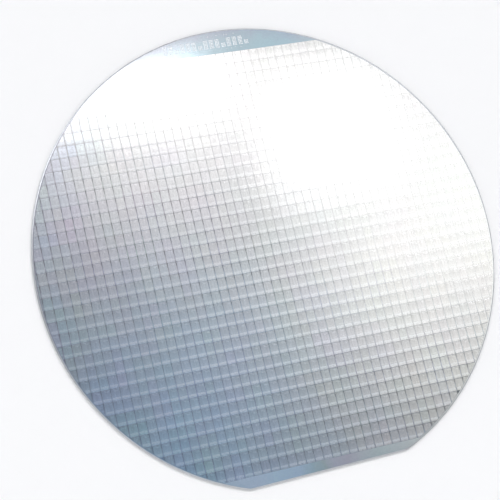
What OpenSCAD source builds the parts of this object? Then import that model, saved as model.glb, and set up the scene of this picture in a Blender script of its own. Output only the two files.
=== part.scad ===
// Silicon wafer: one round slice of crystal with a straight primary flat, a ground
// edge all the way round and a printed field of dies on its front.
// Millimetres. The origin is the centre of the round part on the back face, +Z goes
// up through the printed front, and the primary flat faces -Y.

/* [Disc] */
// Diameter across the round part of the rim
wafer_d = 125; // [124:0.5:150]
// Thickness from the back face to the bare front face
wafer_t = 0.625; // [0.5:0.005:0.8]

/* [Primary flat] */
// Distance from the centre to the flat, which sets how long the flat is
flat_dist = 58.66; // [57:0.02:61]
// Radius of the rounded corner where the flat runs into the round rim
corner_r = 2.5; // [1:0.5:6]

/* [Ground edge] */
// Width of each bevel, measured along the face it leaves
bevel_w = 0.24; // [0.15:0.01:0.3]
// Height of each bevel
bevel_h = 0.1; // [0.05:0.01:0.1]
// Radius that blends each bevel into the upright land
nose_r = 0.13; // [0.05:0.01:0.14]

/* [Printed field] */
// Height of one die, from scribe line to scribe line
die_h = 3.194; // [1.5:0.002:3.2]
// Number of die rows, counted along Y
die_rows = 35; // [21:2:35]
// Turn of the die grid against the flat, anticlockwise seen from the front
grid_deg = -1; // [-1.5:0.1:1.5]
// Bare ring between the printed field and the rim
edge_gap = 0.5; // [0.5:0.1:3]
// Height of the printed layers above the bare front face
film_h = 0.01; // [0.005:0.005:0.02]

/* [Hidden] */
$fn = 180;

rim_r = wafer_d / 2;
// each corner circle touches the flat and the inside of the rim circle
corner_y = flat_dist - corner_r;
corner_x = sqrt(pow(rim_r - corner_r, 2) - corner_y * corner_y);
// direction from the wafer centre to a corner centre, from -Y
corner_deg = atan2(corner_x, corner_y);

// edge profile: bevel, nose arc, upright land, nose arc, bevel
bevel_deg = atan2(bevel_h, bevel_w);
nose_dz = nose_r * cos(bevel_deg);       // height of one nose arc
nose_dr = nose_r * (1 - sin(bevel_deg)); // how far in from the rim an arc starts
land_lo = bevel_h + nose_dz;
land_hi = wafer_t - land_lo;

field_y = die_rows * die_h / 2;
print_r = rim_r - edge_gap;

// Half section of the slice out to radius r: x is the radius, y is the height.
module half_section(r) {
    polygon([
        [0, 0],
        [r - nose_dr - bevel_w, 0],
        [r - nose_dr, bevel_h],
        [r - nose_r, land_lo],
        [r, land_lo],
        [r, land_hi],
        [r - nose_r, land_hi],
        [r - nose_dr, wafer_t - bevel_h],
        [r - nose_dr - bevel_w, wafer_t],
        [0, wafer_t]
    ]);
    for (z = [land_lo, land_hi])
        translate([r - nose_r, z]) circle(r = nose_r, $fn = 48);
}

// The round part, with the trapezium between the two corner radii left out.
module round_part() {
    difference() {
        rotate_extrude() half_section(rim_r);
        translate([0, 0, -1])
            linear_extrude(height = wafer_t + 2)
                polygon([
                    [-corner_x, -corner_y],
                    [corner_x, -corner_y],
                    [1.5 * corner_x, -1.5 * corner_y],
                    [-1.5 * corner_x, -1.5 * corner_y]
                ]);
    }
}

// The strip along the flat, between the two corner centres.
module flat_part() {
    translate([corner_x, -corner_y, 0])
        rotate([0, 0, -90]) rotate([90, 0, 0])
            linear_extrude(height = 2 * corner_x) half_section(corner_r);
}

// One rounded corner, a pie slice about the corner's own centre.
module corner_part(side) {
    translate([side * corner_x, -corner_y, 0])
        rotate([0, 0, side > 0 ? -90 : -90 - corner_deg])
            rotate_extrude(angle = corner_deg) half_section(corner_r);
}

// Plain core that reaches from one corner centre to the other, so that the strip and
// the corners are fused to the round part at any size.
module core() {
    translate([0, -corner_y, 0])
        linear_extrude(height = wafer_t)
            square([2 * corner_x + 0.8 * corner_r, 0.6 * corner_r], center = true);
}

// The area that carries printed layers: whole die rows, cut short by the bare ring
// and never past the flat.
module printed_field() {
    translate([0, 0, wafer_t - 0.1])
        linear_extrude(height = film_h + 0.1)
            intersection() {
                circle(r = print_r);
                rotate([0, 0, grid_deg]) square([2 * wafer_d, 2 * field_y], center = true);
                translate([-wafer_d, edge_gap - flat_dist]) square(2 * wafer_d);
            }
}

module wafer() {
    color([0.62, 0.69, 0.77])
        union() {
            round_part();
            flat_part();
            corner_part(1);
            corner_part(-1);
            core();
            printed_field();
        }
}

wafer();
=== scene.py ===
import math

import bpy
from mathutils import Matrix, Vector

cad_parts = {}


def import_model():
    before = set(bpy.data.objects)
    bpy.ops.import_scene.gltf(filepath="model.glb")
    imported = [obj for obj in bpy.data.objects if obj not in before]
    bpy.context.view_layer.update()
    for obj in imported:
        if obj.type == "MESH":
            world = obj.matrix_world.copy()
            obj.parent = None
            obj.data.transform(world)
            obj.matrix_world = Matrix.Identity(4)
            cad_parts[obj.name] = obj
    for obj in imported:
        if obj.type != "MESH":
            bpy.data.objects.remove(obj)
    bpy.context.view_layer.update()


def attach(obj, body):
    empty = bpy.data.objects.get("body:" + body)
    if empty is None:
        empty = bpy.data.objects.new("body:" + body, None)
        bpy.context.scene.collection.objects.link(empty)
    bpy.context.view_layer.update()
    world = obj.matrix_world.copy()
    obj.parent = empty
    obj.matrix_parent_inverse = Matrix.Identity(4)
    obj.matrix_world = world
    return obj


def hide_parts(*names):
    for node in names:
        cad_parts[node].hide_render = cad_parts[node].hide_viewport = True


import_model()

MM = 0.001

# ---------------------------------------------------------------- the slice, in millimetres
RIM_R = 62.5
THICK = 0.625
FLAT = 58.66
CORNER_R = 2.5
CORNER_Y = FLAT - CORNER_R
CORNER_X = math.sqrt((RIM_R - CORNER_R) ** 2 - CORNER_Y ** 2)
CORNER_A = math.atan2(CORNER_X, CORNER_Y)
BEVEL_W, BEVEL_H, NOSE_R = 0.24, 0.10, 0.13
PRINT_R = 62.0

# the die grid
PW, PH = 2.366, 3.194
ROWS = 35
TURN = math.radians(-1.0)
U0 = 0.04
STREET_X, STREET_Y = 0.185, 0.125
TILE_R = 61.93

# heights of the layers above the back face
Z_FILM = 0.628
Z_STREET = 0.6305
Z_TILE = 0.635
Z_TOP = 0.637


def turned(u, v):
    c, s = math.cos(TURN), math.sin(TURN)
    return u * c - v * s, u * s + v * c


# ---------------------------------------------------------------- mesh helpers
class Shape:
    """Vertices and faces of one piece, in millimetres."""

    def __init__(self):
        self.v, self.f, self.slot = [], [], []

    def prism(self, poly, z0, z1, chamfer=0.0, slot=0):
        """A closed prism over a convex outline, with an optional sloping shoulder round the top."""
        n, a = len(poly), len(self.v)
        self.v += [(x, y, z0) for x, y in poly]
        if chamfer:
            inner = shrunk(poly, chamfer)
            self.v += [(x, y, z1 - min(chamfer, (z1 - z0) * 0.6)) for x, y in poly]
            self.v += [(x, y, z1) for x, y in inner]
            steps = 2
        else:
            self.v += [(x, y, z1) for x, y in poly]
            steps = 1
        self.f.append(tuple(a + i for i in range(n - 1, -1, -1)))
        for s in range(steps):
            for i in range(n):
                j = (i + 1) % n
                self.f.append((a + s * n + i, a + s * n + j, a + (s + 1) * n + j, a + (s + 1) * n + i))
        self.f.append(tuple(a + steps * n + i for i in range(n)))
        self.slot += [slot] * (2 + steps * n)

    def ring(self, outer, inner, z0, z1, slot=0):
        """A closed frame between two outlines with the same number of points."""
        n, a = len(outer), len(self.v)
        for z in (z0, z1):
            self.v += [(x, y, z) for x, y in outer]
            self.v += [(x, y, z) for x, y in inner]
        for i in range(n):
            j = (i + 1) % n
            self.f += [
                (a + i, a + j, a + 2 * n + j, a + 2 * n + i),
                (a + n + j, a + n + i, a + 3 * n + i, a + 3 * n + j),
                (a + 2 * n + i, a + 2 * n + j, a + 3 * n + j, a + 3 * n + i),
                (a + j, a + i, a + n + i, a + n + j),
            ]
        self.slot += [slot] * (4 * n)

    def build(self, name, materials, smooth=None):
        me = bpy.data.meshes.new(name)
        me.from_pydata([(x * MM, y * MM, z * MM) for x, y, z in self.v], [], self.f)
        for m in materials:
            me.materials.append(m)
        if len(materials) > 1:
            me.polygons.foreach_set("material_index", self.slot)
        if smooth is not None:
            me.polygons.foreach_set("use_smooth", [True] * len(me.polygons))
            me.set_sharp_from_angle(angle=smooth)
        me.validate()
        me.update()
        ob = bpy.data.objects.new(name, me)
        bpy.context.scene.collection.objects.link(ob)
        return ob


def planar_map(ob):
    """The bake's map: the front seen from above, with every piece to the same scale."""
    me = ob.data
    uv = me.uv_layers.new(name="OFBake").uv
    for i, loop in enumerate(me.loops):
        p = me.vertices[loop.vertex_index].co
        uv[i].vector = (p.x / 0.127 + 0.5, p.y / 0.127 + 0.5)


def shrunk(poly, d):
    """A convex outline, anticlockwise, moved in by d."""
    n, out = len(poly), []
    for i in range(n):
        (ax, ay), (bx, by), (cx, cy) = poly[i - 1], poly[i], poly[(i + 1) % n]
        e1, e2 = Vector((bx - ax, by - ay)).normalized(), Vector((cx - bx, cy - by)).normalized()
        n1, n2 = Vector((-e1.y, e1.x)), Vector((-e2.y, e2.x))
        m = n1 + n2
        k = d / max(0.3, m.dot(n1)) if m.length > 1e-6 else d
        out.append((bx + m.x * k, by + m.y * k))
    return out


def rect(u0, u1, v0, v1):
    return [(u0, v0), (u1, v0), (u1, v1), (u0, v1)]


def area(poly):
    return 0.5 * sum(p[0] * q[1] - q[0] * p[1] for p, q in zip(poly, poly[1:] + poly[:1]))


def cut_by_circle(poly, r):
    """The part of a convex outline inside a circle about the origin, following the arc."""
    if all(x * x + y * y <= r * r for x, y in poly):
        return poly
    out = []
    n = len(poly)
    for i in range(n):
        p, q = poly[i], poly[(i + 1) % n]
        dx, dy = q[0] - p[0], q[1] - p[1]
        a = dx * dx + dy * dy
        b = 2 * (p[0] * dx + p[1] * dy)
        c = p[0] ** 2 + p[1] ** 2 - r * r
        if c <= 0:
            out.append((p[0], p[1], False))
        disc = b * b - 4 * a * c
        if disc > 0 and a > 0:
            for t in sorted(((-b - math.sqrt(disc)) / (2 * a), (-b + math.sqrt(disc)) / (2 * a))):
                if 1e-9 < t < 1 - 1e-9:
                    out.append((p[0] + dx * t, p[1] + dy * t, True))
    if len(out) < 3:
        return []
    full = []
    m = len(out)
    for i in range(m):
        p, q = out[i], out[(i + 1) % m]
        full.append(p[:2])
        if p[2] and q[2]:
            mid = ((p[0] + q[0]) / 2, (p[1] + q[1]) / 2)
            inside = any(
                abs((q[0] - p[0]) * (s[1] - p[1]) - (q[1] - p[1]) * (s[0] - p[0])) < 1e-7
                and abs((q[0] - p[0]) * (t[1] - p[1]) - (q[1] - p[1]) * (t[0] - p[0])) < 1e-7
                for s, t in zip(poly, poly[1:] + poly[:1])
            )
            if not inside:
                a0, a1 = math.atan2(p[1], p[0]), math.atan2(q[1], q[0])
                d = (a1 - a0 + math.pi) % (2 * math.pi) - math.pi
                steps = max(1, int(abs(d) * r / 0.5))
                for k in range(1, steps):
                    full.append((r * math.cos(a0 + d * k / steps), r * math.sin(a0 + d * k / steps)))
    return full


def outline(inset, round_steps=560, corner_steps=10, flat_steps=44):
    """The rim moved in by inset, anticlockwise from the right end of the round part."""
    pts = []
    a0, a1 = -math.pi / 2 + CORNER_A, 1.5 * math.pi - CORNER_A
    for i in range(round_steps):
        a = a0 + (a1 - a0) * i / round_steps
        pts.append(((RIM_R - inset) * math.cos(a), (RIM_R - inset) * math.sin(a)))
    r = CORNER_R - inset
    for i in range(corner_steps):
        a = -math.pi / 2 - CORNER_A + CORNER_A * i / corner_steps
        pts.append((-CORNER_X + r * math.cos(a), -CORNER_Y + r * math.sin(a)))
    for i in range(flat_steps):
        pts.append((-CORNER_X + 2 * CORNER_X * i / flat_steps, -(FLAT - inset)))
    for i in range(corner_steps):
        a = -math.pi / 2 + CORNER_A * i / corner_steps
        pts.append((CORNER_X + r * math.cos(a), -CORNER_Y + r * math.sin(a)))
    return pts


# ---------------------------------------------------------------- node helpers
class Nodes:
    def __init__(self, tree):
        self.t = tree
        tree.nodes.clear()

    def add(self, kind, inputs=None, **props):
        n = self.t.nodes.new(kind)
        for k, v in props.items():
            setattr(n, k, v)
        for k, v in (inputs or {}).items():
            self.set(n.inputs[k], v)
        return n

    def set(self, socket, v):
        if isinstance(v, bpy.types.NodeSocket):
            self.t.links.new(v, socket)
        else:
            socket.default_value = v

    def math(self, op, a, b=0.0, c=0.0, clamp=False):
        n = self.t.nodes.new("ShaderNodeMath")
        n.operation, n.use_clamp = op, clamp
        for i, v in enumerate((a, b, c)):
            self.set(n.inputs[i], v)
        return n.outputs[0]

    def vec(self, op, a, b=(0, 0, 0)):
        n = self.t.nodes.new("ShaderNodeVectorMath")
        n.operation = op
        self.set(n.inputs[0], a)
        self.set(n.inputs[1], b)
        return n.outputs[0]

    def mix(self, f, a, b, kind="MIX"):
        n = self.t.nodes.new("ShaderNodeMix")
        n.data_type, n.blend_type = "RGBA", kind
        n.clamp_factor = True
        self.set(n.inputs[0], f)
        self.set(n.inputs[6], a)
        self.set(n.inputs[7], b)
        return n.outputs[2]

    def ramp(self, f, stops, interp="LINEAR"):
        n = self.t.nodes.new("ShaderNodeValToRGB")
        n.color_ramp.interpolation = interp
        e = n.color_ramp.elements
        while len(e) < len(stops):
            e.new(0.5)
        for s, (p, c) in zip(e, stops):
            s.position = p
        for s, (p, c) in zip(e, stops):
            s.color = (*c, 1.0) if len(c) == 3 else c
        self.set(n.inputs[0], f)
        return n.outputs[0]

    def place(self):
        """Position on the part, in millimetres."""
        c = self.add("ShaderNodeTexCoord").outputs["Object"]
        return self.scaled(c, 1000.0)

    def scaled(self, v, k):
        n = self.t.nodes.new("ShaderNodeVectorMath")
        n.operation = "SCALE"
        self.set(n.inputs[0], v)
        self.set(n.inputs["Scale"], k)
        return n.outputs[0]

    def split(self, v):
        n = self.add("ShaderNodeSeparateXYZ", {0: v})
        return n.outputs[0], n.outputs[1], n.outputs[2]

    def join(self, x, y, z=0.0):
        return self.add("ShaderNodeCombineXYZ", {0: x, 1: y, 2: z}).outputs[0]

    def noise(self, v, scale, detail=2.0, rough=0.5, distortion=0.0, colour=False):
        n = self.add(
            "ShaderNodeTexNoise",
            {"Vector": v, "Scale": scale, "Detail": detail, "Roughness": rough, "Distortion": distortion},
        )
        return n.outputs["Color" if colour else "Fac"]

    def spread(self, v, lo, hi, a, b):
        n = self.add("ShaderNodeMapRange", {"Value": v, "From Min": lo, "From Max": hi, "To Min": a, "To Max": b})
        n.clamp = True
        return n.outputs[0]

    def bump(self, height, strength, distance, normal=None):
        n = self.add("ShaderNodeBump", {"Height": height, "Strength": strength, "Distance": distance})
        if normal is not None:
            self.set(n.inputs["Normal"], normal)
        return n.outputs[0]

    def surface(self, **inputs):
        p = self.t.nodes.new("ShaderNodeBsdfPrincipled")
        out = self.t.nodes.new("ShaderNodeOutputMaterial")
        for k, v in inputs.items():
            self.set(p.inputs[k.replace("_", " ")], v)
        self.t.links.new(p.outputs[0], out.inputs[0])
        return p


def material(name):
    m = bpy.data.materials.new(name)
    m.use_nodes = True
    return m, Nodes(m.node_tree)


def grid_place(n, place):
    """Position along the die grid, in millimetres."""
    x, y, z = n.split(place)
    c, s = math.cos(TURN), math.sin(TURN)
    u = n.math("SUBTRACT", n.math("ADD", n.math("MULTIPLY", x, c), n.math("MULTIPLY", y, s)), U0)
    v = n.math("ADD", n.math("MULTIPLY", x, -s), n.math("MULTIPLY", y, c))
    return u, v


def die_number(n, u, v):
    """Which die a point is in, and how far up that die it is, from 0 to 1."""
    col = n.math("FLOOR", n.math("DIVIDE", u, PW))
    row_at = n.math("ADD", n.math("DIVIDE", v, PH), 0.5)
    return n.join(col, n.math("FLOOR", row_at)), n.math("FRACT", row_at)


def die_tint(n, place, base, spread=1.0):
    """The base colour, drifting over the slice and from die to die."""
    u, v = grid_place(n, place)
    cell, up = die_number(n, u, v)
    each = n.add("ShaderNodeTexWhiteNoise", {"Vector": cell}, noise_dimensions="3D").outputs
    group = n.noise(cell, 0.31, 1.0, 0.5, colour=True)
    wide = n.noise(place, 0.045, 1.0, 0.5, colour=True)
    # the colours are strongest towards the rim on the left and near the flat
    x, y, z = n.split(place)
    r = n.add("ShaderNodeVectorMath", {0: n.join(x, y)}, operation="LENGTH").outputs["Value"]
    low_left = n.spread(n.math("ADD", x, y), -60.0, 20.0, 1.3, 0.25)
    rim = n.math("MULTIPLY", n.spread(r, 47.0, 59.0, 0.0, 1.0), n.spread(x, -35.0, -5.0, 1.0, 0.0))
    strength = n.math("ADD", low_left, rim)
    k = n.scaled(n.vec("SUBTRACT", group, (0.5, 0.5, 0.5)), n.math("MULTIPLY", strength, 0.125 * spread))
    k = n.vec("ADD", k, n.scaled(n.vec("SUBTRACT", each["Color"], (0.5, 0.5, 0.5)), 0.008 * spread))
    k = n.vec("ADD", k, n.scaled(n.vec("SUBTRACT", wide, (0.5, 0.5, 0.5)), 0.05 * spread))
    lift = n.math("MULTIPLY", n.math("SUBTRACT", each["Value"], 0.5), 0.030 * spread)
    k = n.vec("ADD", k, n.join(lift, lift, lift))
    k = n.vec("ADD", k, n.scaled((-0.045, 0.008, 0.022), rim))
    tint = n.vec("ADD", k, (1.0, 1.0, 1.0))
    return n.vec("MULTIPLY", tint, base), u, v, cell, up


def painted_end_to_end_shade(n, x, v, up):
    """Painted light and shade: how much lighter a die is painted towards the flat than at its far end: most near the
    flat, reversed at the upper left.
    """
    k = n.math("ADD", n.spread(v, -30.0, 0.0, 0.13, 0.08), n.math("MULTIPLY", n.spread(v, 0.0, 28.0, 0.0, -0.14), n.spread(x, -15.0, 15.0, 1.0, 0.0)))
    t = n.math("ADD", n.spread(up, 0.20, 0.50, 1.0, 0.0), n.spread(up, 0.50, 1.0, 0.0, -0.8))
    return n.math("ADD", 1.0, n.math("MULTIPLY", k, t))


def painted_glare_evening(n, x, v, least=0.0):
    """Painted glare: how far die and street are painted towards one even colour, by the angle of view: most about 27
    degrees off square.
    """
    facing = n.add("ShaderNodeLayerWeight", {"Blend": 0.5}).outputs["Facing"]
    c = n.math("SUBTRACT", facing, n.spread(v, -50.0, -6.0, 0.055, 0.0))
    c = n.math("SUBTRACT", c, n.spread(v, 36.0, 56.0, 0.0, 0.034))
    rise = n.add("ShaderNodeMapRange", {"Value": c, "From Min": 0.050, "From Max": 0.094}, interpolation_type="SMOOTHSTEP")
    fall = n.add(
        "ShaderNodeMapRange",
        {"Value": facing, "From Min": 0.14, "From Max": 0.24, "To Min": 1.0, "To Max": 0.0},
        interpolation_type="SMOOTHSTEP",
    )
    even = n.math("MULTIPLY", rise.outputs[0], fall.outputs[0])
    if not least:
        return even
    # painted glare: die and street are also evened out in two wide places, whatever the angle
    low_left = n.spread(v, -22.0, -5.0, least, 0.0)
    low_right = n.math("MULTIPLY", n.spread(v, -40.0, -28.0, 0.05, 0.64), n.spread(v, -8.0, 6.0, 1.0, 0.0))
    side = n.spread(x, -5.0, 22.0, 0.0, 1.0)
    painted_glare_patch = n.add("ShaderNodeMix", {0: side, 2: low_left, 3: low_right}).outputs[0]
    return n.math("MAXIMUM", even, painted_glare_patch)


def tile_material():
    m, n = material("printed_die")
    place = n.place()
    colour, u, v, cell, up = die_tint(n, place, (0.712, 0.720, 0.734))
    x, y, z = n.split(place)
    even = painted_glare_evening(n, x, v)
    # painted shade: the end of each die away from the flat is darker, most on the right and higher up the slice, and so
    # are the sides beside the streets
    far = n.math("SUBTRACT", 1.0, n.math("MULTIPLY", n.spread(x, -30.0, 30.0, 0.0, 0.13), n.spread(v, -25.0, 5.0, 0.25, 1.0)))
    shade = n.add("ShaderNodeMapRange", {"Value": up, "From Min": 0.55, "From Max": 0.97, "To Min": 1.0, "To Max": far}).outputs[0]
    # painted light and shade: each die lighter towards the flat and darker at its far end
    shade = n.math("MULTIPLY", shade, painted_end_to_end_shade(n, x, v, up))
    across = n.math("FRACT", n.math("DIVIDE", u, PW))
    side = n.math("ABSOLUTE", n.math("SUBTRACT", across, 0.5))
    shade = n.math("MULTIPLY", shade, n.spread(side, 0.28, 0.45, 1.0, 0.84))
    # the painted shade fades where the painted glare evens die and street out
    shade = n.add("ShaderNodeMix", {0: n.math("MULTIPLY", even, 0.85), 2: shade, 3: 1.0}).outputs[0]
    colour = n.scaled(colour, shade)
    # cell columns of different density
    column = n.noise(n.join(n.math("MULTIPLY", u, 2.6), n.math("MULTIPLY", v, 0.30)), 1.0, 2.0, 0.6)
    speck = n.noise(n.join(u, v), 2.1, 2.0, 0.6)
    colour = n.scaled(colour, n.spread(column, 0.30, 0.70, 0.91, 1.09))
    colour = n.scaled(colour, n.spread(speck, 0.32, 0.68, 0.86, 1.14))
    # rows of cells and the tracks that cross them
    fine_v = n.math("SINE", n.math("MULTIPLY", v, 2 * math.pi / 0.085))
    fine_u = n.math("SINE", n.math("MULTIPLY", u, 2 * math.pi / 0.062))
    weave = n.math("ADD", n.math("MULTIPLY", fine_v, 0.5), n.math("MULTIPLY", fine_u, 0.35))
    grain = n.noise(n.join(u, v), 9.0, 4.0, 0.6)
    height = n.math("ADD", weave, n.math("MULTIPLY", grain, 1.2))
    rough = n.spread(n.noise(n.join(u, v), 1.1, 3.0), 0.3, 0.7, 0.045, 0.065)
    n.surface(
        Base_Color=colour,
        Metallic=1.0,
        Roughness=rough,
        Normal=n.bump(height, 0.035, 0.00002),
    )
    return m


def street_material():
    m, n = material("scribe_street")
    place = n.place()
    u, v = grid_place(n, place)
    x, y, z = n.split(place)
    even = painted_glare_evening(n, x, v, 0.30)
    # painted glare: the streets along the rows are painted lighter than those between the columns on the left
    across = n.math("ABSOLUTE", n.math("SUBTRACT", n.math("FRACT", n.math("DIVIDE", n.math("SUBTRACT", u, U0), PW)), 0.5))
    between = n.math("LESS_THAN", across, 0.5 - STREET_X / 2 / PW)
    even = n.math("MAXIMUM", even, n.math("MULTIPLY", between, n.spread(x, -35.0, -8.0, 0.42, 0.0)))
    # painted glare: all of them fade towards the top, and past the middle, where the glare washes them out
    painted_glare_wash = n.math("MAXIMUM", n.spread(v, 31.0, 38.0, 0.0, 0.58), n.math("MULTIPLY", n.spread(v, 24.0, 32.0, 0.0, 0.36), n.spread(x, -36.0, -20.0, 0.0, 1.0)))
    painted_glare_wash = n.math("MAXIMUM", painted_glare_wash, n.math("MULTIPLY", n.spread(v, 2.0, 9.0, 0.0, 0.62), n.spread(x, -10.0, 1.0, 0.0, 1.0)))
    even = n.math("ADD", even, n.math("MULTIPLY", painted_glare_wash, n.math("SUBTRACT", 1.0, even)))
    # painted shade: those along the rows are less evened and darker at the lower right
    low = n.math("MULTIPLY", n.spread(v, -56.0, -50.0, 0.0, 1.0), n.spread(v, -30.0, -16.0, 1.0, 0.0))
    low = n.math("MULTIPLY", low, n.math("MULTIPLY", between, n.spread(x, -14.0, 8.0, 0.0, 1.0)))
    even = n.math("MULTIPLY", even, n.math("SUBTRACT", 1.0, n.math("MULTIPLY", low, 0.5)))
    grain = n.noise(place, 6.0, 4.0, 0.6)
    wide = n.noise(place, 0.08, 2.0, 0.5, colour=True)
    base = n.mix(0.25, (0.40, 0.415, 0.445, 1), n.vec("MULTIPLY", wide, (0.78, 0.81, 0.88)))
    base = n.mix(n.spread(v, -15.0, 5.0, 1.0, 0.0), base, n.vec("MULTIPLY", base, (0.95, 1.0, 1.07)))
    base = n.scaled(base, n.spread(grain, 0.3, 0.7, 0.85, 1.1))
    # painted shade: the streets darken from just below the middle upwards, the row streets on the left hardly at all
    plain = n.math("MULTIPLY", between, n.spread(x, -30.0, -8.0, 0.9, 0.0))
    dark = n.math("MULTIPLY", n.spread(v, -8.0, 12.0, 0.0, 0.26), n.math("SUBTRACT", 1.0, plain))
    base = n.scaled(base, n.math("SUBTRACT", 1.0, dark))
    # painted light and shade: those between the columns are lightest beside the pads and darkest at the crossings, the
    # light most near the flat
    cell, up = die_number(n, u, v)
    beside = n.math("MULTIPLY", n.spread(up, 0.12, 0.50, 1.0, 0.0), n.spread(v, -20.0, 5.0, 0.30, 0.08))
    end = n.math("ADD", n.spread(up, 0.50, 0.98, 0.0, -0.24), n.spread(up, 0.0, 0.10, -0.24, 0.0))
    along = n.math("ADD", beside, end)
    along = n.math("MULTIPLY", along, n.math("SUBTRACT", 1.0, between))
    base = n.scaled(base, n.math("ADD", 1.0, along))
    # more painted light and shade along the column streets: light past the pads, dark towards the far end, changing
    # over the slice
    corner = n.math("MULTIPLY", n.spread(x, 0.0, 15.0, 0.0, 1.0), n.spread(v, -16.0, -2.0, 1.0, 0.0))
    first = n.math("SUBTRACT", n.spread(up, 0.05, 0.20, 0.0, 1.0), n.spread(up, 0.25, 0.42, 0.0, 1.0))
    first = n.math("MULTIPLY", first, n.math("MULTIPLY", n.spread(v, -18.0, 6.0, 0.45, 0.80), n.math("SUBTRACT", 1.0, n.math("MULTIPLY", corner, 0.8))))
    then = n.math("SUBTRACT", n.spread(up, 0.25, 0.42, 0.0, 1.0), n.spread(up, 0.45, 0.70, 0.0, 1.0))
    then = n.math("MULTIPLY", then, n.math("ADD", n.spread(v, -18.0, 6.0, 0.15, 0.70), n.math("MULTIPLY", corner, 0.35)))
    last = n.math("MULTIPLY", n.spread(up, 0.64, 0.93, 0.0, 1.0), n.spread(x, -28.0, -8.0, 0.27, 0.62))
    swing = n.math("SUBTRACT", n.math("ADD", first, then), last)
    base = n.scaled(base, n.math("ADD", 1.0, n.math("MULTIPLY", swing, n.math("SUBTRACT", 1.0, between))))
    # painted shade: the rows far from the flat, past the middle, are dark as well, and those at the lower right darker
    # still
    high = n.math("MULTIPLY", n.spread(v, 18.0, 30.0, 0.0, 0.42), n.spread(x, -18.0, -6.0, 0.0, 1.0))
    base = n.scaled(base, n.math("SUBTRACT", 1.0, n.math("MULTIPLY", between, high)))
    base = n.scaled(base, n.math("SUBTRACT", 1.0, n.math("MULTIPLY", low, 0.42)))
    # painted glare: the streets evened towards the die colour
    colour = n.mix(n.math("MULTIPLY", even, 0.86), base, (0.715, 0.72, 0.735, 1))
    n.surface(Base_Color=colour, Metallic=1.0,
              Roughness=n.spread(grain, 0.3, 0.7, 0.04, 0.06),
              Normal=n.bump(grain, 0.02, 0.00003))
    return m


def pad_material():
    m, n = material("pad_metal")
    place = n.place()
    colour, u, v, cell, up = die_tint(n, place, (0.775, 0.785, 0.80), 0.8)
    x, y, z = n.split(place)
    # painted light and shade: the pads lighter to the right and near the flat, darker further up
    colour = n.scaled(colour, n.math("MULTIPLY", n.spread(x, -40.0, 30.0, 1.02, 1.08), n.math("MULTIPLY", n.spread(v, -32.0, -20.0, 1.10, 1.07), n.math("MULTIPLY", n.spread(v, -20.0, 4.0, 1.0, 0.92), n.spread(v, 4.0, 30.0, 1.0, 0.955)))))
    grain = n.noise(n.join(u, v), 30.0, 3.0, 0.6)
    colour = n.scaled(colour, n.spread(grain, 0.3, 0.7, 0.94, 1.03))
    # painted glare: the pads evened towards one colour
    colour = n.mix(n.math("MULTIPLY", painted_glare_evening(n, x, v), 0.45), colour, (0.765, 0.772, 0.786, 1))
    n.surface(Base_Color=colour, Metallic=1.0,
              Roughness=n.spread(grain, 0.3, 0.7, 0.14, 0.19),
              Normal=n.bump(grain, 0.1, 0.00002))
    return m


def block_material():
    m, n = material("dense_cells")
    place = n.place()
    colour, u, v, cell, up = die_tint(n, place, (0.705, 0.713, 0.727))
    rows = n.math("SINE", n.math("MULTIPLY", v, 2 * math.pi / 0.11))
    dots = n.noise(n.join(u, v), 14.0, 3.0, 0.7)
    column = n.noise(n.join(n.math("MULTIPLY", u, 2.6), n.math("MULTIPLY", v, 0.30)), 1.0, 2.0, 0.6)
    k = n.math("MULTIPLY", n.spread(dots, 0.35, 0.65, 0.92, 1.07), n.spread(rows, -1.0, 1.0, 0.96, 1.02))
    k = n.math("MULTIPLY", k, n.spread(column, 0.30, 0.70, 0.92, 1.08))
    x, y, z = n.split(place)
    # painted shade at the far end of each die, and painted light towards its end by the flat
    k = n.math("MULTIPLY", k, n.spread(up, 0.62, 0.97, 1.0, 0.96))
    k = n.math("MULTIPLY", k, painted_end_to_end_shade(n, x, v, up))
    n.surface(Base_Color=n.scaled(colour, k), Metallic=1.0,
              Roughness=n.spread(dots, 0.3, 0.7, 0.045, 0.065),
              Normal=n.bump(n.math("ADD", rows, dots), 0.03, 0.00002))
    return m


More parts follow.
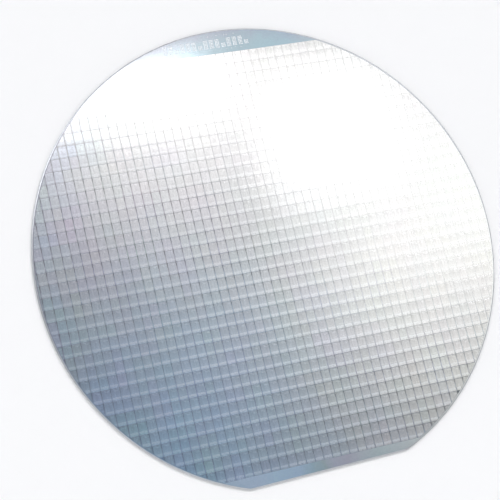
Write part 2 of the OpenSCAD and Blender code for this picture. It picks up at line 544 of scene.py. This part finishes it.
def film_material():
    m, n = material("bare_film")
    place = n.place()
    x, y, z = n.split(place)
    mottle = n.noise(place, 0.35, 3.0, 0.55)
    fine = n.noise(place, 2.2, 3.0, 0.6)
    # how far in from the rim
    r = n.add("ShaderNodeVectorMath", {0: n.join(x, y)}, operation="LENGTH").outputs["Value"]
    # the side away from the flat
    top = n.ramp(
        n.math("ADD", n.spread(r, 56.0, 62.5, 0.0, 1.0), n.math("MULTIPLY", n.math("SUBTRACT", mottle, 0.5), 0.9)),
        [(0.0, (0.385, 0.465, 0.505)), (0.55, (0.40, 0.46, 0.50)), (0.85, (0.40, 0.43, 0.48)), (1.0, (0.39, 0.41, 0.46))],
    )
    # the strip along the flat
    s = n.math("ADD", n.spread(x, -30.0, 30.0, 0.0, 1.0), n.math("MULTIPLY", n.math("SUBTRACT", mottle, 0.5), 0.08))
    low = n.ramp(
        s,
        [(0.0, (0.86, 0.88, 0.88)), (0.17, (0.97, 0.96, 0.99)), (0.27, (0.88, 0.96, 1.02)), (0.36, (0.83, 0.91, 1.00)),
         (0.43, (0.70, 0.81, 0.83)), (0.48, (0.71, 0.76, 0.72)), (0.53, (0.80, 0.76, 0.81)), (0.58, (0.80, 0.74, 0.80)),
         (0.64, (0.80, 0.80, 0.83)), (0.72, (0.77, 0.85, 0.85)), (0.82, (0.79, 0.85, 0.87)), (1.0, (0.90, 0.93, 0.93))],
    )
    along = n.ramp(
        n.spread(x, -20.0, 40.0, 0.0, 1.0),
        [(0.0, (1.0, 1.0, 1.0)), (0.217, (0.92, 0.95, 0.97)), (0.433, (0.80, 0.86, 0.90)), (0.55, (0.80, 0.92, 0.97)),
         (0.667, (0.82, 0.94, 1.01)), (0.783, (0.97, 1.04, 1.06)), (1.0, (1.0, 1.0, 1.0))],
    )
    top = n.vec("MULTIPLY", top, along)
    half = n.spread(y, -20.0, 20.0, 0.0, 1.0)
    colour = n.mix(half, low, top)
    colour = n.scaled(colour, n.spread(fine, 0.3, 0.7, 0.97, 1.03))
    n.surface(Base_Color=colour, Metallic=1.0,
              Roughness=n.spread(mottle, 0.3, 0.7, 0.06, 0.11),
              Normal=n.bump(fine, 0.02, 0.00005))
    return m


def edge_material():
    m, n = material("ground_edge")
    place = n.place()
    grain = n.noise(place, 9.0, 4.0, 0.65)
    scuff = n.noise(place, 0.6, 3.0, 0.6)
    colour = n.ramp(scuff, [(0.3, (0.46, 0.48, 0.51)), (0.7, (0.55, 0.57, 0.60))])
    n.surface(Base_Color=n.scaled(colour, n.spread(grain, 0.3, 0.7, 0.9, 1.08)), Metallic=1.0,
              Roughness=n.spread(grain, 0.3, 0.7, 0.30, 0.42),
              Normal=n.bump(grain, 0.25, 0.00004))
    return m


def back_material():
    m, n = material("lapped_back")
    place = n.place()
    cloud = n.noise(place, 0.06, 4.0, 0.55, 0.4)
    grain = n.noise(place, 5.0, 4.0, 0.7)
    colour = n.ramp(cloud, [(0.3, (0.36, 0.375, 0.40)), (0.5, (0.41, 0.42, 0.435)), (0.7, (0.45, 0.455, 0.47))])
    n.surface(Base_Color=n.scaled(colour, n.spread(grain, 0.3, 0.7, 0.93, 1.05)), Metallic=1.0,
              Roughness=n.spread(cloud, 0.3, 0.7, 0.42, 0.52),
              Normal=n.bump(grain, 0.3, 0.00004))
    return m


def dot_material():
    m, n = material("laser_dot")
    place = n.place()
    grain = n.noise(place, 12.0, 3.0, 0.6)
    n.surface(Base_Color=n.ramp(grain, [(0.3, (0.80, 0.84, 0.87)), (0.7, (0.92, 0.94, 0.95))]), Metallic=0.0,
              Roughness=n.spread(grain, 0.3, 0.7, 0.45, 0.65), Normal=n.bump(grain, 0.3, 0.00002))
    return m


# ---------------------------------------------------------------- the slice itself
def slice_piece():
    s = Shape()
    rings = [(0.32, 0.0)]
    lo, hi = BEVEL_H + 0.12, THICK - BEVEL_H - 0.12
    top = math.radians(90 - math.degrees(math.atan2(BEVEL_H, BEVEL_W)))
    steps = 5
    for i in range(steps + 1):
        a = top * (1 - i / steps)
        rings.append((NOSE_R - NOSE_R * math.cos(a), lo - NOSE_R * math.sin(a)))
    for i in range(steps + 1):
        a = top * i / steps
        rings.append((NOSE_R - NOSE_R * math.cos(a), hi + NOSE_R * math.sin(a)))
    rings.append((0.32, THICK))
    scales = (0.985, 0.94, 0.86, 0.76, 0.64, 0.52, 0.40, 0.28, 0.16, 0.07)
    base = outline(0.32)
    loops = [[(x * k, y * k, 0.0) for x, y in base] for k in reversed(scales)]
    loops += [[(x, y, z) for x, y in outline(d)] for d, z in rings]
    loops += [[(x * k, y * k, THICK) for x, y in base] for k in scales]
    n = len(base)
    for loop in loops:
        s.v += loop
    last = len(loops) - 1
    inner = len(scales)
    for a in range(last):
        slot = 1 if a < inner else 0
        for i in range(n):
            j = (i + 1) % n
            s.f.append((a * n + i, a * n + j, (a + 1) * n + j, (a + 1) * n + i))
            s.slot.append(slot)
    for a, z, slot in ((0, 0.0, 1), (last, THICK, 0)):
        c = len(s.v)
        s.v.append((0.0, 0.0, z))
        for i in range(n):
            j = (i + 1) % n
            s.f.append((a * n + j, a * n + i, c) if a == 0 else (a * n + i, a * n + j, c))
            s.slot.append(slot)
    # the lowest loops run outwards on the underside, so every side face already looks out
    ob = s.build("wafer_slice", [edge_material(), back_material()], smooth=math.radians(16))
    me = ob.data
    uv = me.uv_layers.new(name="OFBake").uv
    for p in me.polygons:
        for k in p.loop_indices:
            vi = me.loops[k].vertex_index
            co = me.vertices[vi].co
            if abs(p.normal.z + 1) < 1e-3:
                uv[k].vector = (0.30 + co.x / 0.127 * 0.58, 0.30 + co.y / 0.127 * 0.58)
            elif abs(p.normal.z - 1) < 1e-3:
                uv[k].vector = (0.80 + co.x / 0.127 * 0.36, 0.20 + co.y / 0.127 * 0.36)
            else:
                ring_no, i = divmod(vi, n)
                if i == 0 and max(me.loops[q].vertex_index % n for q in p.loop_indices) == n - 1:
                    i = n
                uv[k].vector = (0.01 + 0.98 * i / n, 0.64 + 0.30 * (ring_no - inner) / (len(rings) - 1))
    return ob


def film_piece():
    s = Shape()
    s.prism(outline(0.345), THICK, Z_FILM)
    ob = s.build("bare_film", [film_material()])
    planar_map(ob)
    return ob


# ---------------------------------------------------------------- the printed field
def street_piece():
    """The film that shows in the streets, over the whole printed field."""
    s = Shape()
    half = ROWS * PH / 2
    a = math.asin(half / PRINT_R)
    pts = []
    steps = 220
    for k in range(steps + 1):
        t = -a + 2 * a * k / steps
        pts.append((PRINT_R * math.cos(t), PRINT_R * math.sin(t)))
    for k in range(steps + 1):
        t = math.pi - a + 2 * a * k / steps
        pts.append((PRINT_R * math.cos(t), PRINT_R * math.sin(t)))
    s.prism([turned(*p) for p in pts], Z_FILM - 0.001, Z_STREET)
    ob = s.build("scribe_streets", [street_material()])
    planar_map(ob)
    return ob


def dies():
    """Every die as its column, its row, its outline along the grid and whether it is whole."""
    out = []
    for j in range(-(ROWS // 2), ROWS // 2 + 1):
        for k in range(-28, 28):
            box = (U0 + k * PW + STREET_X / 2, U0 + (k + 1) * PW - STREET_X / 2,
                   (j - 0.5) * PH + STREET_Y / 2, (j + 0.5) * PH - STREET_Y / 2)
            whole = rect(*box)
            poly = cut_by_circle(whole, TILE_R)
            if not poly or len(poly) < 3:
                continue
            share = area(poly) / area(whole)
            if share < 0.04:
                continue
            out.append((k, j, box, poly, share))
    return out


def printed_pieces():
    tiles, rings, big, blocks, small = Shape(), Shape(), Shape(), Shape(), Shape()

    def put(shape, box, at, z0, z1):
        u, v = at
        poly = cut_by_circle(rect(u + box[0], u + box[1], v + box[2], v + box[3]), TILE_R - 0.05)
        if poly and len(poly) > 2 and area(poly) > 0.5 * (box[1] - box[0]) * (box[3] - box[2]):
            shape.prism([turned(*p) for p in poly], z0, z1)

    w, h = PW - STREET_X, PH - STREET_Y
    for k, j, box, poly, share in dies():
        tiles.prism([turned(*p) for p in poly], Z_STREET - 0.0005, Z_TILE, chamfer=0.012 if share > 0.5 else 0.0)
        at = (box[0], box[2])
        if share > 0.999:
            outer = rect(box[0] + 0.03, box[1] - 0.03, box[2] + 0.03, box[3] - 0.03)
            inner = rect(box[0] + 0.06, box[1] - 0.06, box[2] + 0.06, box[3] - 0.06)
            rings.ring([turned(*p) for p in outer], [turned(*p) for p in inner], Z_TILE - 0.0005, Z_TILE + 0.001)
        if share < 0.45:
            continue
        # a row of large pads along the end towards the flat
        n = 5
        for i in range(n):
            step = (w - 0.20) / n
            put(big, (0.10 + i * step + 0.02, 0.10 + (i + 1) * step - 0.02, 0.37, 0.90), at, Z_TILE - 0.0005, Z_TOP)
        # four blocks of cells above it, with a track channel half way up
        for u0, u1, v0, v1 in (
            (0.14, 1.18, 0.98, 1.32), (1.26, 2.07, 0.98, 1.32),
            (0.14, 0.86, 1.40, 2.74), (0.94, 2.07, 1.40, 2.34),
        ):
            put(blocks, (u0, u1, v0, v1), at, Z_TILE - 0.0005, Z_TILE + 0.0015)
        # small bond pads
        for i in range(6):
            u0 = 0.98 + (i % 6) * 0.185
            put(small, (u0, u0 + 0.11, 2.46 if i % 2 else 2.62, 2.57 if i % 2 else 2.73), at, Z_TILE - 0.0005, Z_TOP)
    pads = pad_material()
    made = [
        tiles.build("die_tiles", [tile_material()]),
        rings.build("seal_rings", [pads]),
        big.build("output_pads", [pads]),
        blocks.build("cell_blocks", [block_material()]),
        small.build("bond_pads", [pads]),
    ]
    for ob in made:
        planar_map(ob)
    return made


def mark_piece():
    """A line of plain dot cells in the bare area, in no letter's or figure's shape, and a few stray specks."""
    s = Shape()

    def dot(x, y, r):
        n, a = 8, len(s.v)
        for rr, z in ((r, Z_FILM - 0.0005), (r, Z_FILM + 0.001), (r * 0.6, Z_FILM + 0.0035)):
            s.v += [(x + rr * math.cos(2 * math.pi * i / n), y + rr * math.sin(2 * math.pi * i / n), z) for i in range(n)]
        s.f.append(tuple(a + i for i in range(n - 1, -1, -1)))
        for q in range(2):
            for i in range(n):
                k = (i + 1) % n
                s.f.append((a + q * n + i, a + q * n + k, a + (q + 1) * n + k, a + (q + 1) * n + i))
        s.f.append(tuple(a + 2 * n + i for i in range(n)))
        s.slot.extend([0] * (2 + 2 * n))

    pitch = 1.64
    for cell in range(15):
        x0, y0 = -15.2 + cell * pitch, 57.75
        for i in range(3):
            for q in range(6 if cell % 4 != 2 else 3):
                dot(x0 + i * 0.40, y0 + q * 0.42, 0.165)
    for x, y in ((-2.3, 61.0), (0.2, 61.05), (2.4, 61.0), (3.1, 60.95), (5.1, 61.0), (2.2, 57.0), (3.5, 56.9), (4.7, 57.05), (6.3, 56.9)):
        dot(x, y, 0.09)
    ob = s.build("mark_dots", [dot_material()])
    planar_map(ob)
    return ob


pieces = [slice_piece(), film_piece(), street_piece(), *printed_pieces(), mark_piece()]
for ob in pieces:
    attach(ob, "root")
    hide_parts("wafer")


# ---------------------------------------------------------------- floor, light and camera
def floor_material():
    m, n = material("floor")
    c = n.add("ShaderNodeTexCoord").outputs["Object"]
    grain = n.noise(c, 180.0, 3.0, 0.6)
    wide = n.noise(c, 2.0, 2.0, 0.5)
    k = n.math("MULTIPLY", n.spread(grain, 0.3, 0.7, 0.992, 1.0), n.spread(wide, 0.3, 0.7, 0.995, 1.0))
    n.surface(Base_Color=n.scaled((0.965, 0.965, 0.965), k), Roughness=0.9, Normal=n.bump(grain, 0.03, 0.0003))
    return m


floor = bpy.data.meshes.new("floor")
floor.from_pydata([(-8, -8, 0), (8, -8, 0), (8, 8, 0), (-8, 8, 0)], [], [(0, 1, 2, 3)])
floor = bpy.data.objects.new("floor", floor)
floor.location.z = -0.00002
floor.data.materials.append(floor_material())
bpy.context.scene.collection.objects.link(floor)


def softbox(name, at, target, size, power, colour=(1, 1, 1)):
    light = bpy.data.lights.new(name, "AREA")
    light.shape = "RECTANGLE"
    light.size, light.size_y = size
    light.energy, light.color = power, colour
    ob = bpy.data.objects.new(name, light)
    ob.location = at
    ob.rotation_euler = (Vector(target) - Vector(at)).to_track_quat("-Z", "Y").to_euler()
    bpy.context.scene.collection.objects.link(ob)
    return ob


def towards(x, y, z=0.656):
    return Vector((x, y, z)).normalized()


# soft lights far away: the way to each, how tight it is, and its colour
SOFT_LIGHTS = [
    (towards(-0.033, 0.340), 15, (0.72, 0.70, 0.82)),
    (towards(0.176, 0.237), 152, (1.05, 1.01, 0.935)),
    (towards(0.286, 0.067), 297, (0.255, 0.237, 0.221)),
    (towards(0.331, 0.149), 80, (1.31, 1.31, 1.24)),
    (towards(0.166, -0.116), 81, (0.447, 0.607, 0.79)),
    (towards(0.148, 0.067), 196, (0.084, 0.187, 0.29)),
    (towards(-0.42, 0.63), 60, (5.0, 5.0, 5.0)),
    (towards(0.55, 0.47), 200, (23.0, 23.0, 23.0)),
]


def world():
    w = bpy.data.worlds.new("studio")
    bpy.context.scene.world = w
    w.use_nodes = True
    n = Nodes(w.node_tree)
    d = n.add("ShaderNodeTexCoord").outputs["Generated"]
    x, y, z = n.split(d)
    # pale all round, greyer higher up and dark overhead
    light = n.ramp(
        z,
        [(0.0, (1.0, 1.0, 1.0)), (0.14, (1.0, 1.0, 1.0)), (0.28, (0.81, 0.81, 0.81)), (0.42, (0.71, 0.71, 0.71)),
         (0.60, (0.66, 0.66, 0.67)), (0.78, (0.40, 0.41, 0.42)), (0.93, (0.0, 0.0, 0.0))],
        "EASE",
    )
    for way, tight, colour in SOFT_LIGHTS:
        dot = n.add("ShaderNodeVectorMath", {0: d, 1: way}, operation="DOT_PRODUCT").outputs["Value"]
        k = n.math("EXPONENT", n.math("MULTIPLY", n.math("SUBTRACT", dot, 1.0), float(tight)))
        light = n.vec("ADD", light, n.scaled(colour, k))
    bg = n.add("ShaderNodeBackground", {"Color": light, "Strength": 1.0})
    out = n.add("ShaderNodeOutputWorld")
    n.t.links.new(bg.outputs[0], out.inputs[0])


world()


def flat_light(name, x0, x1, y0, y1, z, radiance, colour=(1, 1, 1)):
    """A level softbox that looks straight down, given by its edges, with its radiance."""
    sx, sy = x1 - x0, y1 - y0
    power = radiance * math.pi * sx * sy
    c = ((x0 + x1) / 2, (y0 + y1) / 2, z)
    return softbox(name, c, (c[0], c[1], 0), (sx, sy), power, colour)


flat_light("softbox_left", 0.110, 0.186, 0.257, 0.302, 0.656, 1.9)
flat_light("softbox_left_end", 0.020, 0.110, 0.266, 0.302, 0.656, 1.9)
flat_light("softbox_left_side", 0.186, 0.204, 0.258, 0.290, 0.656, 1.9)
flat_light("softbox_left_low", 0.030, 0.200, 0.192, 0.258, 0.656, 0.06)
flat_light("softbox_right", 0.235, 0.330, 0.175, 0.260, 0.656, 1.0)
flat_light("softbox_middle", 0.222, 0.330, 0.060, 0.220, 0.656, 0.113)
softbox("fill", (-0.6, -1.5, 1.4), (0, 0, 0), (3.6, 2.4), 0.58 * math.pi * 3.6 * 2.4)

cam = bpy.data.objects.new("camera", bpy.data.cameras.new("camera"))
cam.data.sensor_width = 36.0
cam.data.lens = 96.27
PAN = 0.5 / 500 * 36.0 / 96.27
cam.data.clip_start, cam.data.clip_end = 0.005, 50.0
right = Vector((0.93955, -0.24981, 0.23418)).normalized()
ahead = Vector((0.28413, 0.18714, -0.94035)).normalized()
ahead = (ahead - right * PAN + right.cross(ahead) * PAN).normalized()
over = right.cross(ahead).normalized()
right = ahead.cross(over).normalized()
cam.matrix_world = Matrix.Translation((-0.10494, -0.06426, 0.328755)) @ Matrix(
    (right, over, -ahead)
).transposed().to_4x4()
bpy.context.scene.collection.objects.link(cam)
bpy.context.scene.camera = cam
bpy.context.scene.view_settings.view_transform = "Standard"
